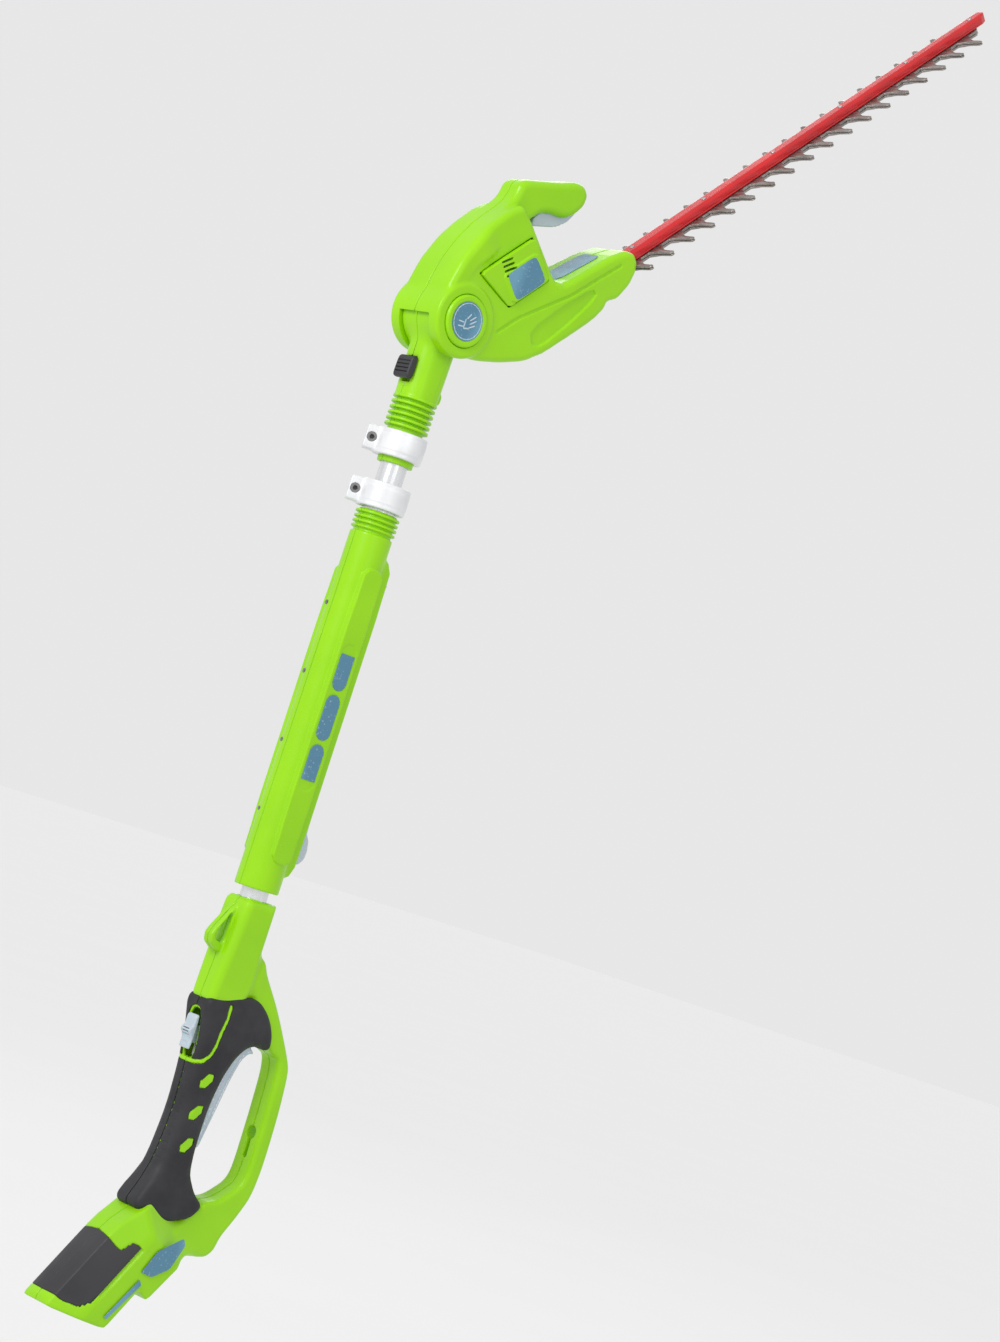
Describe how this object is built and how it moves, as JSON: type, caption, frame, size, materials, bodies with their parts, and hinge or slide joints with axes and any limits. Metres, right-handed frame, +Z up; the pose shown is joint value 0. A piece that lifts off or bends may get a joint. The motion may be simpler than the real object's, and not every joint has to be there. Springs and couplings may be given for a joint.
{
  "type": "pole hedge trimmer",
  "caption": "Cordless pole hedge trimmer with a D-shaped rear handle, telescopic pole, tilting cutter head and double-sided reciprocating blades.",
  "frame": {"origin": "on the pole axis at the middle of the rear grip", "axes": "+Z up the pole towards the cutter head, +X to the front where the guard bar and the blade are, +Y to the left of the user"},
  "size_m": [0.6466, 0.071, 1.4595],
  "materials": {
    "lime_plastic": "moulded yellow-green plastic, satin",
    "grip_rubber": "charcoal soft overmould",
    "black_plastic": "charcoal moulded plastic",
    "grey_plastic": "pale blue-grey moulded plastic",
    "tube_aluminium": "satin anodised aluminium",
    "collar_aluminium": "cast and brushed aluminium",
    "bar_red": "red painted metal",
    "blade_steel": "ground steel",
    "part_steel": "turned steel",
    "screw_black": "blackened screw steel",
    "label_blue": "blue printed film without any text",
    "cable_black": "black cable jacket",
    "contact_metal": "plated contact blades"
  },
  "bodies": {
    "handle": {"handle_left": "lime_plastic", "handle_right": "lime_plastic", "grip_left": "grip_rubber", "grip_right": "grip_rubber", "battery_panel": "black_plastic", "battery_rails": "lime_plastic", "terminal_block": "black_plastic", "battery_contacts": "contact_metal", "housing_labels": "label_blue", "trigger_pin": "part_steel", "trigger_spring": "part_steel", "trigger_switch": "black_plastic", "lockout_spring": "part_steel", "lower_tube": "tube_aluminium", "outer_tube": "tube_aluminium", "sleeve_left": "lime_plastic", "sleeve_right": "lime_plastic", "sleeve_labels": "label_blue", "sleeve_lever_pin": "part_steel", "sleeve_switch": "black_plastic", "lower_collar": "collar_aluminium", "lower_collar_screw": "screw_black", "handle_screws": "screw_black", "sleeve_screws": "screw_black", "coil_cable": "cable_black"},
    "trigger": {"trigger": "grey_plastic"},
    "lockout": {"lockout_slider": "grey_plastic"},
    "sleeve_lever": {"sleeve_lever": "grey_plastic"},
    "upper_pole": {"upper_tube": "tube_aluminium", "neck_left": "lime_plastic", "neck_right": "lime_plastic", "upper_collar": "collar_aluminium", "upper_collar_screw": "screw_black", "tilt_spring": "part_steel"},
    "tilt_lock": {"tilt_button": "black_plastic", "tilt_lock_pin": "part_steel"},
    "head": {"pivot_bolt": "part_steel", "ratchet_wheel": "part_steel", "pivot_cap_left": "lime_plastic", "pivot_cap_right": "lime_plastic", "head_left": "lime_plastic", "head_right": "lime_plastic", "motor_cover_left": "lime_plastic", "motor_cover_right": "lime_plastic", "motor_can": "part_steel", "gear_axle": "part_steel", "gear_bearing": "part_steel", "blade_bar": "bar_red", "blade_bolts": "part_steel", "gearbox_plate": "lime_plastic", "deck_label": "label_blue", "hook_lever_pin": "part_steel", "hook_switch": "black_plastic", "head_screws": "screw_black"},
    "rotor": {"motor_rotor": "part_steel"},
    "crank": {"crank_gear": "part_steel"},
    "blade_top": {"upper_blade": "blade_steel"},
    "blade_bottom": {"lower_blade": "blade_steel"},
    "hook_lever": {"hook_lever": "grey_plastic"}
  },
  "joints": [
    {"name": "pole_extension", "type": "slide", "parent": "handle", "child": "upper_pole", "axis": [0, 0, 1], "range_m": [0, 0.2], "deforming": ["coil_cable"]},
    {"name": "head_tilt", "type": "hinge", "parent": "upper_pole", "child": "head", "pos_m": [0, 0, 0.74], "axis": [0, 1, 0], "range_deg": [-42.8, 42.8]},
    {"name": "tilt_lock", "type": "slide", "parent": "upper_pole", "child": "tilt_lock", "axis": [0, 0, -1], "range_m": [0, 0.005], "stiffness_N_per_m": 800, "springref_m": -0.004},
    {"name": "trigger_pull", "type": "hinge", "parent": "handle", "child": "trigger", "pos_m": [0.036, 0, 0.072], "axis": [0, 1, 0], "range_deg": [0, 5], "stiffness_Nm_per_rad": 1.5, "springref_deg": -11.46},
    {"name": "lockout_slide", "type": "slide", "parent": "handle", "child": "lockout", "axis": [0, 0, 1], "range_m": [0, 0.005], "stiffness_N_per_m": 300, "springref_m": -0.003},
    {"name": "sleeve_squeeze", "type": "hinge", "parent": "handle", "child": "sleeve_lever", "pos_m": [0.0268, 0, 0.496], "axis": [0, 1, 0], "range_deg": [0, 1.2], "stiffness_Nm_per_rad": 12, "springref_deg": -2.86},
    {"name": "hook_squeeze", "type": "hinge", "parent": "head", "child": "hook_lever", "pos_m": [0.09957, 0, 0.88358], "axis": [0, 1, 0], "range_deg": [0, 5], "stiffness_Nm_per_rad": 1.5, "springref_deg": -11.46},
    {"name": "motor_spin", "type": "hinge", "parent": "head", "child": "rotor", "pos_m": [0.05843, 0, 0.8031], "axis": [0.7337, 0, -0.6794], "continuous": true},
    {"name": "crank_spin", "type": "hinge", "parent": "head", "child": "crank", "pos_m": [0.07881, 0, 0.82511], "axis": [0.7337, 0, -0.6794], "continuous": true},
    {"name": "blade_top_stroke", "type": "slide", "parent": "head", "child": "blade_top", "axis": [0.6794, 0, 0.7337], "range_m": [-0.007, 0.007]},
    {"name": "blade_bottom_stroke", "type": "slide", "parent": "head", "child": "blade_bottom", "axis": [0.6794, 0, 0.7337], "range_m": [-0.007, 0.007]}
  ],
  "couplings": [
    {"joint": "motor_spin", "follows": "crank_spin", "ratio": -4},
    {"joint": "blade_bottom_stroke", "follows": "blade_top_stroke", "ratio": -1}
  ]
}
